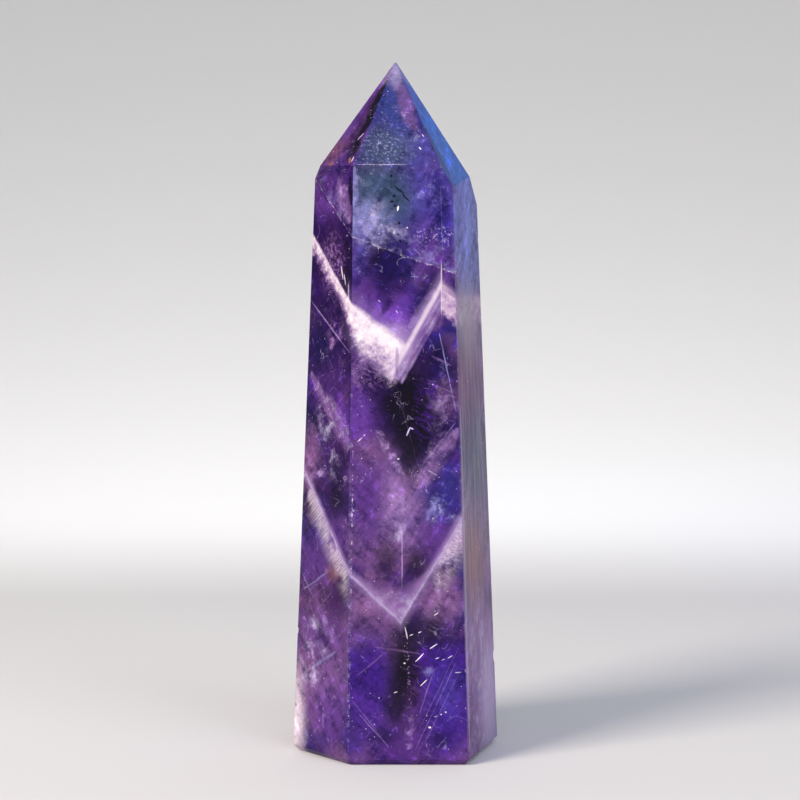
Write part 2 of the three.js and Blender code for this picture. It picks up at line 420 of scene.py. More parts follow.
        spot("night", 0.3, 4, 1.6, 1.1, soft=0.8, strength=0.7),
        spot("night", 0.78, 3.6, 1.8, 1, soft=0.8, strength=0.7),
        streak("milk", 0.485, 19.2, 0.51, 17.4, 0.07),
        streak("mauve", 0.505, 17, 0.53, 8, 0.2, soft=0.8, broken="grain"),
        streak("lilac", 0.52, 7.8, 0.53, 2.4, 0.6, soft=0.8, broken="smoke"),
        streak("mauve", 0.2, 16.4, 0.62, 15.4, 0.12, strength=0.3),
        streak("mauve", 0.06, 12.4, 0.3, 15.4, 0.12, strength=0.3),
        streak("lilac", 0.56, 2, 0.94, 14.6, 0.06, soft=0.8, strength=0.3),
        streak("lilac", 0.64, 3, 0.98, 13.6, 0.05, soft=0.8, strength=0.25),
        streak("lilac", 0.6, 5, 0.96, 16.4, 0.05, soft=0.8, strength=0.25),
        streak("lilac", 0.6, 7, 0.72, 12.4, 0.08, soft=0.8, strength=0.3),
        spot("lavender", 0.7, 12.6, 0.9, 0.8, soft=0.8, broken="smoke"),
        streak("lilac", 0.08, 7.2, 0.34, 2.6, 0.07, soft=0.8, strength=0.35),
        streak("lilac", 0.02, 9, 0.26, 4.4, 0.05, soft=0.8, strength=0.25),
        # small painted glints
        streak("frost", 0.74, 20.7, 0.78, 21.1, 0.05),
        streak("frost", 0.53, 17.9, 0.56, 18.1, 0.05),
        streak("frost", 0.6, 18.3, 0.625, 18.5, 0.05),
        streak("frost", 0.7, 16.1, 0.77, 16.8, 0.045),
        streak("frost", 0.57, 14.3, 0.65, 15.5, 0.05),
        spot("frost", 0.47, 14.1, 0.14, 0.11),
        streak("frost", 0.75, 14.7, 0.78, 14.9, 0.05),
        streak("frost", 0.8, 14.5, 0.83, 14.7, 0.045),
        streak("frost", 0.86, 14.8, 0.9, 15.2, 0.045),
        streak("frost", 0.62, 11, 0.68, 11.9, 0.05),
        streak("frost", 0.39, 10, 0.42, 10.2, 0.045),
        spot("frost", 0.69, 5.3, 0.18, 0.13),
        streak("frost", 0.73, 6.7, 0.76, 6.9, 0.05),
        spot("frost", 0.79, 7.1, 0.1, 0.09),
        spot("frost", 0.83, 7.4, 0.1, 0.09),
        streak("frost", 0.92, 12.8, 0.98, 12.9, 0.05),
        # over the chevrons: the dark gap in the upper one's point, and a soft painted glint
        streak("purple", 0.43, 58, 0.43, 54, 0.2, soft=0.9, strength=0.45, over=True),
        spot("frost", 0.3, 60, 1.4, 1, soft=0.9, strength=0.4, over=True),
    ],
    "left": [
        spot("deep", 0.5, 70, 9, 12, soft=0.5),
        spot("purple", 0.45, 79.6, 3.4, 3, soft=0.7),
        streak("mauve", 0.6, 82, 0.95, 75.6, 0.9, soft=0.9, strength=0.4),
        streak("lilac", 0.7, 81, 0.95, 76, 0.9, soft=0.7, broken="smoke"),
        streak("ink", 0.93, 82, 0.98, 78, 0.4, soft=0.7, strength=0.8),
        spot("ink", 0.86, 68, 1.2, 5, soft=0.7, strength=0.7),
        spot("plum", 0.5, 71, 2.4, 3.6, soft=0.9, strength=0.7),
        spot("mauve", 0.5, 70, 2, 3.6, soft=0.8, broken="fan"),
        streak("mauve", 0.1, 74, 0.6, 66, 0.1, strength=0.4),
        streak("lilac", 0.93, 67, 0.94, 62, 0.12, soft=0.8),
        # small painted glints
        streak("milk", 0.74, 69.6, 0.8, 67.6, 0.1),
        streak("milk", 0.82, 68.4, 0.86, 66.8, 0.07),
        spot("deep", 0.5, 56, 8, 6, soft=0.5),
        spot("purple", 0.35, 51, 4.6, 5, soft=0.9, strength=0.5),
        spot("night", 0.3, 58.4, 3, 2.6, soft=0.8),
        spot("rose", 0.62, 60.4, 1.2, 3.4, soft=0.9, broken="smoke"),
        streak("lilac", 0.01, 65, 0.97, 57.2, 0.16, soft=0.7, broken="smoke"),
        streak("lilac", 0.01, 65, 0.97, 57.2, 0.09, strength=0.5),
        spot("mauve", 0.7, 58.2, 2, 3, soft=0.8, broken="smoke", strength=0.9),
        streak("mauve", 0.07, 54.6, 0.62, 47.8, 0.5, soft=0.9, strength=0.4),
        streak("lilac", 0.05, 54.8, 0.5, 48.6, 0.8, soft=0.8, broken="smoke"),
        spot("night", 0.1, 47.6, 1.8, 3.4, soft=0.8),
        spot("glow", 0.86, 47.4, 1.8, 3, soft=0.8, strength=0.4),
        streak("mauve", 0.4, 51.6, 0.98, 43.8, 1, soft=0.9, strength=0.4),
        streak("mist", 0.3, 51, 0.96, 43.8, 1.5, soft=0.7, broken="smoke"),
        spot("mist", 0.36, 46, 2.2, 2.2, soft=0.8, broken="smoke", strength=0.8),
        spot("lilac", 0.3, 45, 2.4, 2.4, soft=0.8, broken="grain", strength=0.4),
        spot("rose", 0.1, 42.6, 1.8, 3.4, soft=0.9),
        spot("plum", 0.7, 39, 2.8, 5.6, soft=0.8),
        spot("deep", 0.72, 38.4, 2, 4.4, soft=0.9),
        spot("ink", 0.76, 37.6, 1.2, 3, soft=0.9, strength=0.6),
        spot("mist", 0.62, 42.4, 1.4, 2.2, soft=0.8, broken="smoke", strength=0.8),
        spot("lilac", 0.3, 40.2, 1.2, 0.9, soft=0.9, broken="smoke"),
        spot("purple", 0.8, 31, 2.4, 3, soft=0.8),
        spot("purple", 0.3, 27.4, 3, 3.6, soft=0.8),
        spot("rust", 0.68, 26, 1.2, 1.2, soft=0.9, strength=0.6),
        streak("lavender", 0.1, 23.4, 0.6, 26.4, 0.12, soft=0.7, strength=0.5),
        streak("lavender", 0.05, 25.6, 0.3, 22.4, 0.1, soft=0.7, strength=0.4),
        spot("rose", 0.5, 14, 7, 9, soft=0.6, strength=0.75),
        spot("plum", 0.75, 22.4, 2, 2.8, soft=0.9),
        spot("purple", 0.5, 17, 5, 3, soft=0.9, strength=0.6),
        spot("mist", 0.42, 18, 2.6, 2.6, soft=0.7, broken="smoke", strength=0.8),
        spot("mist", 0.3, 12.4, 3.4, 3, soft=0.7, broken="smoke", strength=0.8),
        streak("lavender", 0.3, 12.2, 0.8, 15.4, 0.2, soft=0.8, strength=0.4),
        spot("purple", 0.75, 6, 2.6, 4, soft=0.9, strength=0.6),
        streak("lilac", 0.56, 7.4, 0.57, 4.4, 0.2, soft=0.8, strength=0.5),
        spot("milk", -0.05, 4.4, 2.4, 6.4, soft=0.8),
        spot("frost", -0.05, 3, 1.5, 4, soft=0.9, strength=0.3),
        spot("glow", 0.6, 7, 3.4, 4.4, soft=0.9, strength=0.35),
    ],
    "right": [
        # the stone's plum, wine, mauve and rose lie under a painted reflection of the sky and the
        # surroundings: blue-lavender haze with iris and slate at the top, then grey, slate, rust and
        # mist
        spot("haze", 0.5, 76, 8, 11, soft=0.4, strength=0.95),
        spot("iris", 0.2, 77, 2, 8, soft=0.8, strength=0.5),
        spot("slate", 0.85, 76, 2, 8, soft=0.8, strength=0.4),
        spot("plum", 0.5, 40, 9, 24, soft=0.5, strength=0.6, over=True),
        spot("reflectionGrey", 0.4, 61.6, 6, 5, soft=0.8, strength=0.7, over=True),
        spot("wine", 0.45, 54, 8, 5, soft=0.8, strength=0.5, over=True),
        spot("slate", 0.55, 42, 6, 6, soft=0.8, strength=0.75, over=True),
        spot("rust", 0.35, 27, 5, 6, soft=0.9, strength=0.7, over=True),
        spot("mauve", 0.5, 12, 9, 11, soft=0.7, strength=0.6, over=True),
        # painted grey reflection streaks
        spot("reflectionGrey", 0.5, 34, 7, 34, broken="reflectionStreaks", strength=0.3, over=True),
        spot("rose", 0.24, 7, 1.2, 3.4, soft=0.9, broken="smoke", over=True),
        spot("mist", 0.8, 6, 4.6, 8, soft=0.8, strength=0.6, over=True),
        spot("mist", 0.4, 10, 5, 12, soft=0.6, broken="smoke", strength=0.5, over=True),
        # a pale painted highlight along its front edge
        streak("mist", 0.03, 50, 0.03, 1, 0.4, soft=0.8, strength=0.4, over=True),
    ],
    "back": [
        spot("iris", 0.4, 78, 7, 6, soft=0.7, strength=0.8),
        spot("slate", 0.75, 80, 4, 4, soft=0.8),
        spot("lavender", 0.6, 77, 4, 3, soft=0.8, broken="smoke"),
        spot("deep", 0.5, 56, 9, 10, soft=0.7),
        spot("ink", 0.42, 52, 2.8, 7, soft=0.8, strength=0.9),
        spot("ink", 0.62, 61, 2, 4, soft=0.8, broken="fan"),
        spot("glow", 0.75, 55, 2.4, 5, soft=0.9, strength=0.5),
        spot("mauve", 0.5, 41, 4, 4, soft=0.9, strength=0.8),
        spot("mist", 0.3, 47, 4, 4, soft=0.7, broken="smoke"),
        spot("rose", 0.7, 30, 4, 4, soft=0.9, strength=0.8),
        spot("violet", 0.35, 17, 4, 8, soft=0.8),
        spot("ink", 0.55, 13, 2, 7, soft=0.8, strength=0.8),
        spot("lilac", 0.72, 8, 3, 5, soft=0.7, broken="smoke"),
        streak("lilac", 0.2, 4, 0.44, 20, 0.12, soft=0.8, strength=0.4),
    ],
    "backRight": [
        spot("purple", 0.5, 76, 7, 7, soft=0.7),
        spot("night", 0.4, 50, 6, 9, soft=0.8),
        spot("mauve", 0.7, 46, 3, 4, soft=0.9, strength=0.8),
        spot("lilac", 0.5, 54, 4, 5, soft=0.7, broken="smoke"),
        spot("plum", 0.3, 34, 4, 5, soft=0.8),
        spot("rose", 0.5, 14, 8, 9, soft=0.8, strength=0.7),
        spot("mist", 0.4, 16, 5, 5, soft=0.7, broken="smoke"),
        spot("milk", 0, 5, 3, 6, soft=0.8),
    ],
    "backLeft": [
        spot("iris", 0.6, 76, 6, 8, soft=0.7, strength=0.7),
        spot("rose", 0.4, 56, 6, 7, soft=0.8, strength=0.7),
        spot("slate", 0.6, 42, 5, 6, soft=0.8, strength=0.7),
        # painted grey reflection streaks, as on the right flat
        spot("reflectionGrey", 0.5, 40, 5, 40, broken="reflectionStreaks", strength=0.7),
        spot("indigo", 0.35, 30, 3, 6, soft=0.8, strength=0.8),
        spot("mist", 0.5, 12, 6, 9, soft=0.7, broken="smoke"),
        spot("milk", 1, 5, 3, 6, soft=0.8, strength=0.9),
    ],
    "tipBack": [
        spot("indigo", 0.5, 90, 9, 11, soft=0.3, strength=0.8),
        # a painted grey-green reflection, as on the front tip
        spot("reflectionSage", 0.6, 87, 4, 4, soft=0.6, broken="grain", strength=0.7),
        spot("rose", 0.3, 87, 2, 4, soft=0.9, strength=0.7),
        spot("mist", 0.5, 98.6, 1.6, 2.8, soft=0.7, strength=0.7),
    ],
    "tipBackRight": [
        spot("purple", 0.5, 88, 8, 12, soft=0.4, strength=0.8),
        spot("lilac", 0.4, 87, 3, 4, soft=0.7, broken="smoke"),
        streak("ink", 0.8, 96, 0.9, 85, 0.6, soft=0.7, strength=0.7),
        spot("mist", 0.5, 98.8, 1.1, 2.2, soft=0.8, strength=0.4),
    ],
    "tipBackLeft": [
        spot("cobalt", 0.5, 88, 9, 14, soft=0.3, strength=0.8),
        spot("lavender", 0.6, 86, 3, 4, soft=0.7, broken="smoke"),
        spot("mist", 0.5, 98.8, 1.1, 2.2, soft=0.8, strength=0.4),
    ],
    "foot": [],
}

stone, flats = makeStone()
print("stage 2: the stone's mesh has", len(stone.data.polygons), "faces and", len(flats), "flats")


# Growth planes: height at the stone's axis in mm, and the rise per mm towards +X and +Y
growth = {
    "upperLeft": (68.14, -0.743, 0.877),
    "upperRight": (59.9, 1.75, 0.81),
    "beyond": (72.2, -0.92, 0.36),
    "lowerLeft": (31.1, -0.895, 0.93),
    "lowerRight": (28.2, 1.62, 0.81),
    "healed": (81.4, -0.342, 1.039),
}


# What breaks the features up. Sizes are in mm: across one puff or grain, or across, across and
# along what is drawn out. Real fibres and grains are finer, and these are as coarse as show.
texture = {
    "zone": 8,
    "smoke": 2.4,
    "mottle": 1.6,
    "grain": 0.4,
    # the streaks of the painted reflection
    "reflectionStreakNoise": (0.9, 0.9, 18),
    # the dashes of painted glint
    "glintDashes": (3, 3, 1.1),
    "fibres": (0.45, 0.45, 7),
    "threads": (0.22, 0.22, 3),
    "sheets": (9, 9, 1.3),
    "plies": (6, 6, 0.5),
    "layers": (5, 5, 0.32),
    "crispSwing": (3.5, 0.16),  # how long and how wide the bends of thin features are
    "softSwing": (4, 1.3),  # and those of broad ones
}


def growthNormal(name):
    height, riseX, riseY = growth[name]
    return Vector((-riseX, -riseY, 1)).normalized()


def heightAbove(tree, place, name):
    # distance above a growth plane, in mm, square to it
    normal = growthNormal(name)
    along = addNode(tree, "VectorMath", [place, normal], operation="DOT_PRODUCT")
    return addNode(
        tree, "Math", [along.outputs["Value"], growth[name][0] * normal.z], operation="SUBTRACT",
    )


def drawnOut(tree, place, size, detail, roughness, turn=(0, 0, 0)):
    # noise drawn out to that many mm along each axis, or along the axes turned that way
    along = addNode(tree, "Mapping", [place, (0, 0, 0), turn, size], vector_type="TEXTURE")
    return addNode(
        tree, "TexNoise",
        {"Vector": along, "Scale": 1, "Detail": detail, "Roughness": roughness},
    )


def swingAt(tree, place, size, amount):
    # how far, in mm, a place is moved so that what is drawn there isn't straight
    noise = addNode(
        tree, "TexNoise", {"Vector": place, "Scale": 1 / size, "Detail": 5, "Roughness": 0.68},
    )
    middled = addNode(
        tree, "VectorMath", [noise.outputs["Color"], (0.5, 0.5, 0.5)], operation="SUBTRACT",
    )
    return addNode(tree, "VectorMath", {0: middled, "Scale": 2 * amount}, operation="SCALE")


def grownIn(tree, place, name, size):
    # noise drawn out to that many mm across, across and along a growth plane's normal
    turn = growthNormal(name).to_track_quat("Z", "Y").to_euler()
    return drawnOut(tree, place, size, 4, 0.65, turn)


def sharedFields(tree, place, name):
    # what more than one feature needs: the bent places and what breaks features up
    smoke = addNode(
        tree, "TexNoise",
        {"Vector": place, "Scale": 1 / texture["smoke"], "Detail": 6, "Roughness": 0.7,
         "Distortion": 0.4},
    )
    grain = addNode(
        tree, "TexNoise",
        {"Vector": place, "Scale": 1 / texture["grain"], "Detail": 2, "Roughness": 0.75},
    )
    mottle = addNode(
        tree, "TexNoise",
        {"Vector": place, "Scale": 1 / texture["mottle"], "Detail": 5, "Roughness": 0.72},
    )
    reflectionStreakNoise = drawnOut(tree, place, texture["reflectionStreakNoise"], 3, 0.6)
    glintDashes = drawnOut(tree, place, texture["glintDashes"], 4, 0.9)
    rays = grownIn(tree, place, "lowerLeft", texture["fibres"])
    fan = grownIn(tree, place, "lowerRight", texture["fibres"])
    crispSwing = swingAt(tree, place, *texture["crispSwing"])
    shared = {
        "place": place,
        "crisp": addNode(tree, "VectorMath", [place, crispSwing]),
        "mottle": mottle,
        "smoke": addNode(tree, "MapRange", [smoke, 0.46, 0.7], **smooth),
        "grain": addNode(tree, "MapRange", [grain, 0.52, 0.68], **smooth),
        # painted reflection streaks
        "reflectionStreaks": addNode(tree, "MapRange", [reflectionStreakNoise, 0.4, 0.64], **smooth),
        # painted glint dashes
        "glintDashes": addNode(tree, "MapRange", [glintDashes, 0.5, 0.62], **smooth),
        "rays": addNode(tree, "MapRange", [rays, 0.42, 0.66], **smooth),
        "fan": addNode(tree, "MapRange", [fan, 0.42, 0.66], **smooth),
    }
    if name in flats:
        own = addNode(
            tree, "Mapping", [place, flats[name]["middle"], flats[name]["turn"]],
            vector_type="TEXTURE",
        )
        softSwing = swingAt(tree, place, *texture["softSwing"])
        for level, swing in (("crispLevel", crispSwing), ("softLevel", softSwing)):
            shared[level] = addNode(
                tree, "VectorMath", [swing, (1, 1, 0), own], operation="MULTIPLY_ADD",
            )
    return shared


# Each function below lays its features one by one: it hands over how far a feature covers what
# is under it, the feature's colour and, if it isn't laid plainly, how it is blended in.


def broadZones(tree, place):
    # zones of plum, indigo and rose all through the stone
    broad = addNode(
        tree, "TexNoise",
        {"Vector": place, "Scale": 1 / texture["zone"], "Detail": 6, "Roughness": 0.6},
    )
    parts = addNode(tree, "SeparateColor", [broad.outputs["Color"]])
    for part, tone, strength in ((0, "plum", 0.9), (1, "indigo", 0.9), (2, "rose", 0.7)):
        zone = parts.outputs[part]
        cover = addNode(tree, "MapRange", [zone, 0.46, 0.62, 0, strength], **smooth)
        yield cover, linear(tones[tone])


def patchesThrough(tree, shared, name, over):
    # the patches of one flat, those under the chevrons or those over them
    for patch in windows[name]:
        if patch.get("over", False) != over:
            continue
        soft, strength = patch.get("soft", 0.4), patch.get("strength", 1)
        level = shared["crispLevel" if min(patch["size"]) < amethyst["fine"] else "softLevel"]
        places = [ownPlace(flats[name], *place) for place in patch["places"]]
        if len(places) == 1:
            middle = places[0]
            wide, high = patch["size"]
            scaled = addNode(
                tree, "VectorMath",
                [level, (1 / wide, 1 / high, 0), (-middle.x / wide, -middle.y / high, 0)],
                operation="MULTIPLY_ADD",
            )
            away = addNode(tree, "VectorMath", [scaled], operation="LENGTH").outputs["Value"]
            reach = 1 + soft, 1 - soft
        else:
            # the two distances add up to the same all round an ellipse
            toEnds = [
                addNode(tree, "VectorMath", [level, end], operation="DISTANCE").outputs["Value"]
                for end in places
            ]
            away = addNode(tree, "Math", toEnds)
            half = (places[0] - places[1]).length / 2
            width = patch["size"][0]
            reach = [2 * math.hypot(half, width * share) for share in (1 + soft, 1 - soft)]
        cover = addNode(tree, "MapRange", [away, *reach, 0, strength], **smooth)
        if "broken" in patch:
            cover = addNode(
                tree, "Math", [cover, shared[patch["broken"]]], operation="MULTIPLY",
            )
        yield cover, linear(tones[patch["tone"]])


def growthSheets(tree, shared):
    # thin darker and lighter sheets, laid down one after another, with fibres across them
    place = shared["place"]
    sides = [
        grownIn(tree, place, name, texture["sheets"]) for name in ("lowerLeft", "lowerRight")
    ]
    past = addNode(
        tree, "VectorMath", [place, growthNormal("lowerRight") - growthNormal("lowerLeft")],
        operation="DOT_PRODUCT",
    )
    which = addNode(tree, "MapRange", [past.outputs["Value"], -2.6, -1.6], clamp=False)
    which = addNode(tree, "Math", [which], use_clamp=True)
    sheets = addNode(tree, "Mix", {0: which, 2: sides[1], 3: sides[0]}, data_type="FLOAT")
    fibres = addNode(
        tree, "Mix", {0: which, 2: shared["fan"], 3: shared["rays"]}, data_type="FLOAT",
    )
    light = addNode(tree, "Math", [fibres, 0.12, shared["mottle"]], operation="MULTIPLY_ADD")
    light = addNode(tree, "Math", [light, sheets])
    darker = addNode(tree, "MapRange", [light, 1.08, 0.72, 0, 0.8], **smooth)
    yield darker, linear(tones["shade"]), "MULTIPLY"
    lighter = addNode(tree, "MapRange", [light, 1.04, 1.4, 0, 0.9], **smooth)
    yield lighter, linear(tones["gleam"]), "DODGE"
    pale = addNode(tree, "Math", [fibres, shared["smoke"]], operation="MULTIPLY")
    yield addNode(tree, "MapRange", [pale, 0.2, 0.9, 0, 0.14], **smooth), linear(tones["lilac"])


def veils(tree, shared):
    # thin healed cracks of every shape, which show as fine pale threads where they end
    folds = addNode(
        tree, "TexNoise",
        {"Vector": shared["crisp"], "Scale": 1 / 3.2, "Detail": 2, "Roughness": 0.5,
         "Distortion": 0.6},
    )
    fold = addNode(tree, "Math", [folds, 0.5], operation="SUBTRACT")
    fold = addNode(tree, "Math", [fold], operation="ABSOLUTE")
    shown = addNode(tree, "MapRange", [shared["mottle"], 0.48, 0.64, 0, 0.4], **smooth)
    yield addNode(tree, "MapRange", [fold, 0.01, 0, 0, shown], **smooth), linear(tones["mist"])


crack = {
    "lift": 0.5,  # mm that the mottle lifts it
    "milk": 3.2,  # mm that the milk above it reaches up
    "milkStrength": 0.6,
    "line": 0.12,  # mm: its half width
}


def healedCrack(tree, shared):
    # a faint pale line that comes and goes, with a little milk above it
    height = heightAbove(tree, shared["crisp"], "healed")
    height = addNode(tree, "Math", [shared["mottle"], crack["lift"], height], operation="MULTIPLY_ADD")
    milk, strength = crack["milk"], crack["milkStrength"]
    above = addNode(tree, "MapRange", [height, milk, 0.3, 0, strength], **smooth)
    above = addNode(tree, "MapRange", [height, 0.2, 0.32, 0, above], **smooth)
    above = addNode(tree, "Math", [above, shared["smoke"]], operation="MULTIPLY")
    yield above, linear(tones["lavender"])
    line = addNode(tree, "Math", [height, 0.25], operation="SUBTRACT")
    line = addNode(tree, "Math", [line], operation="ABSOLUTE")
    worn = addNode(tree, "Math", [shared["grain"], 0.5, 0.04], operation="MULTIPLY_ADD")
    worn = addNode(tree, "Math", [shared["smoke"], 0.3, worn], operation="MULTIPLY_ADD")
    line = addNode(tree, "MapRange", [line, crack["line"], 0.02, 0, worn], **smooth)
    yield line, linear(tones["milk"])


lowerBand = {
    "haze": (0.8, 4),  # mm that it reaches up inside the arms, and inside the point
    "hazeStrength": 0.7,
    "leftFibres": (-6.2, -7.4),  # mm along X: the fibres begin here, and are whole there
    "rightFibres": (4.6, 6.2),
    "fibres": 3.8,  # mm that they stand out below the line
    "line": 0.26,  # mm: its half width
    "glow": 1.1,  # mm round the line
    "glowStrength": 0.32,
}


def lowerChevron(tree, shared, x):
    # a thin pale line, hazy inside its point, and with fibres standing outside its arms
    left = heightAbove(tree, shared["crisp"], "lowerLeft")
    right = heightAbove(tree, shared["crisp"], "lowerRight")
    inside = addNode(tree, "Math", [left, right], operation="MINIMUM")
    point = addNode(
        tree, "VectorMath", [shared["crisp"], (1 / 7, 1 / 6, 1 / 7), (-0.09, 1.93, -3)],
        operation="MULTIPLY_ADD",
    )
    point = addNode(tree, "VectorMath", [point], operation="LENGTH").outputs["Value"]
    fill = addNode(tree, "MapRange", [point, 1, 0.2, *lowerBand["haze"]], **smooth)
    haze = addNode(tree, "Math", [inside, fill], operation="DIVIDE")
    strength = lowerBand["hazeStrength"]
    within = addNode(tree, "MapRange", [inside, -0.08, 0.08, 0, strength], **smooth)
    haze = addNode(tree, "MapRange", [haze, 1, 0, 0, within], **smooth)
    yield haze, linear(tones["mauve"])
    milky = addNode(tree, "Math", [haze, shared["smoke"]], operation="MULTIPLY")
    yield milky, linear(tones["mist"])
    bundles = addNode(tree, "TexNoise", {"Vector": shared["crisp"], "Scale": 1 / 3, "Detail": 2})
    bundles = addNode(tree, "MapRange", [bundles, 0.36, 0.56, 0, 0.85], **smooth)
    for name, height, shore in (
        ("lowerLeft", left, lowerBand["leftFibres"]),
        ("lowerRight", right, lowerBand["rightFibres"]),
    ):
        threads = grownIn(tree, shared["crisp"], name, texture["threads"])
        threads = addNode(tree, "MapRange", [threads, 0.3, 0.68, 0.25, 0.95], **smooth)
        cover = addNode(tree, "MapRange", [x, *shore, 0, bundles], **smooth)
        cover = addNode(tree, "Math", [cover, threads], operation="MULTIPLY")
        out = -lowerBand["fibres"]
        cover = addNode(tree, "MapRange", [height, out, -0.3, 0, cover], **smooth)
        cover = addNode(tree, "MapRange", [height, 0.15, -0.3, 0, cover], **smooth)
        yield cover, linear(tones["milk"])
    line = addNode(tree, "Math", [inside], operation="ABSOLUTE")
    strength = lowerBand["glowStrength"]
    glow = addNode(tree, "MapRange", [line, lowerBand["glow"], 0, 0, strength], **smooth)
    yield glow, linear(tones["lilac"])
    bright = addNode(tree, "MapRange", [shared["mottle"], 0.34, 0.66, 0.15, 0.75], **smooth)
    line = addNode(tree, "MapRange", [line, lowerBand["line"], 0.02, 0, bright], **smooth)
    yield line, linear(tones["mist"])


upperBand = {
    "suture": (62, 50, 6.3, 8.3),  # mm: between these heights it moves from one X to the other
    "sutureShows": 66.2,  # mm: the height about which its line shows
    "sutureLine": 0.13,  # mm: its half width
    "onFront": (-8.2, -4.6),  # mm along X: the left arm has its look of the front from here on
    "thickness": (1.8, 3.6),  # mm, of the left arm on the left flat and on the front
    "ragged": 2.2,  # mm that the mottle moves its lower edge
    "wisps": 0.8,  # mm that its wisps hang down on the front
    "halo": 2.4,  # mm above it
    "haloStrength": 0.3,
    "rightArm": (-3.8, -3.4),  # mm above the left arm's plane: the right arm begins there
    "crest": 1.8,  # mm: the right arm's thickness, up to its bright crest
    "crestLine": 0.5,  # mm: the crest's half width
    "crestHalo": 0.45,  # its strength
    "beyondTop": (3.8, 2.4),  # mm above its plane, past the suture
    "beyondFoot": (-0.2, 0.9),
    "beyondLowest": (49, 51),  # mm: the heights where it ends
}


def upperChevron(tree, shared, x, z):
    # Fibrous white quartz, thick in the left arm, and thin and clearer in the right one. A
    # neighbouring crystal begins past the suture, and there the band turns down again.
    left = heightAbove(tree, shared["crisp"], "upperLeft")
    right = heightAbove(tree, shared["crisp"], "upperRight")
    seam = addNode(tree, "MapRange", [z, *upperBand["suture"]], **smooth)
    pastSeam = addNode(tree, "Math", [x, seam], operation="SUBTRACT")
    main = addNode(tree, "MapRange", [pastSeam, 0.1, -0.1], **smooth)
    # the left arm ends where the right arm's crest begins
    overCrest = addNode(tree, "Math", [right, 0.9], operation="SUBTRACT")
    onFront = addNode(tree, "MapRange", [x, *upperBand["onFront"]], **smooth)
    thin, thick = upperBand["thickness"]
    thickness = addNode(tree, "Math", [onFront, thick - thin, thin], operation="MULTIPLY_ADD")
    slope = addNode(tree, "Math", [onFront, 0.6, -0.95], operation="MULTIPLY_ADD")
    wisps = addNode(tree, "Math", [shared["rays"], onFront], operation="MULTIPLY")
    plies = grownIn(tree, shared["crisp"], "upperLeft", texture["plies"])
    cloud = addNode(tree, "Math", [shared["mottle"], 0.5], operation="SUBTRACT")
    under = addNode(tree, "Math", [cloud, upperBand["ragged"], left], operation="MULTIPLY_ADD")
    under = addNode(tree, "Math", [wisps, upperBand["wisps"], under], operation="MULTIPLY_ADD")
    under = addNode(tree, "Math", [under, -1], operation="MULTIPLY")
    low = addNode(tree, "Math", [under, thickness], operation="DIVIDE")
    top = addNode(tree, "Math", [left, -0.25], operation="MULTIPLY")

    onLeft = addNode(tree, "MapRange", [overCrest, -0.5, 0.5, 0, main], **smooth)
    above, strength = upperBand["halo"], upperBand["haloStrength"]
    halo = addNode(tree, "MapRange", [left, above, -0.4, 0, strength], **smooth)
    halo = addNode(tree, "Math", [halo, onFront], operation="MULTIPLY")
    halo = addNode(tree, "Math", [halo, onLeft], operation="MULTIPLY")
    halo = addNode(tree, "MapRange", [left, -4.6, -3.6, 0, halo], **smooth)
    yield halo, linear(tones["lilac"])
    cover = addNode(tree, "MapRange", [low, 1.25, 0.4, 0, onLeft], **smooth)
    blur = addNode(tree, "Math", [onFront, -0.09, -0.03], operation="MULTIPLY_ADD")
    cover = addNode(tree, "MapRange", {0: top, 1: blur, 2: 0.1, 3: 0, 4: cover}, **smooth)
    yield cover, linear(tones["mauve"])
    fibrous = addNode(tree, "Math", [plies, 1, 0.42], operation="MULTIPLY_ADD")
    fibrous = addNode(tree, "Math", [cloud, 2.2, fibrous], operation="MULTIPLY_ADD")
    faded = addNode(tree, "Math", [low, slope, fibrous], operation="MULTIPLY_ADD")
    smoky = addNode(tree, "Math", [shared["smoke"], 0.4, faded], operation="MULTIPLY_ADD")
    milky = addNode(tree, "MapRange", [smoky, 0.05, 0.95, 0, cover], **smooth)
    yield milky, linear(tones["milk"])
    white = addNode(tree, "MapRange", [smoky, 0.68, 1.5, 0, cover], **smooth)
    yield white, linear(tones["frost"])

    onRight = addNode(tree, "MapRange", [left, *upperBand["rightArm"], 0, main], **smooth)
    layers = grownIn(tree, shared["crisp"], "upperRight", texture["layers"])
    layers = addNode(tree, "MapRange", [layers, 0.36, 0.66, 0.1, 0.8], **smooth)
    pane = addNode(tree, "MapRange", [right, 2.2, 1.6, 0, onRight], **smooth)
    pane = addNode(tree, "MapRange", [right, -0.15, 0.2, 0, pane], **smooth)
    pane = addNode(tree, "Math", [pane, 0.8], operation="MULTIPLY")
    yield pane, linear(tones["purple"])
    pane = addNode(tree, "Math", [pane, layers], operation="MULTIPLY")
    yield pane, linear(tones["mauve"])
    lit = addNode(tree, "MapRange", [cloud, -0.16, 0.2, 0, pane], **smooth)
    yield lit, linear(tones["mist"])
    crest = addNode(tree, "Math", [right, upperBand["crest"]], operation="SUBTRACT")
    crest = addNode(tree, "Math", [crest], operation="ABSOLUTE")
    halo = addNode(tree, "MapRange", [crest, 1.5, 0.1, 0, onRight], **smooth)
    halo = addNode(tree, "Math", [halo, upperBand["crestHalo"]], operation="MULTIPLY")
    yield halo, linear(tones["lilac"])
    wide = upperBand["crestLine"]
    crest = addNode(tree, "MapRange", [crest, wide, 0.02, 0, onRight], **smooth)
    bright = addNode(tree, "Math", [cloud, 1.2, 0.78], operation="MULTIPLY_ADD")
    crest = addNode(tree, "Math", [crest, bright], operation="MULTIPLY")
    yield crest, linear(tones["milk"])

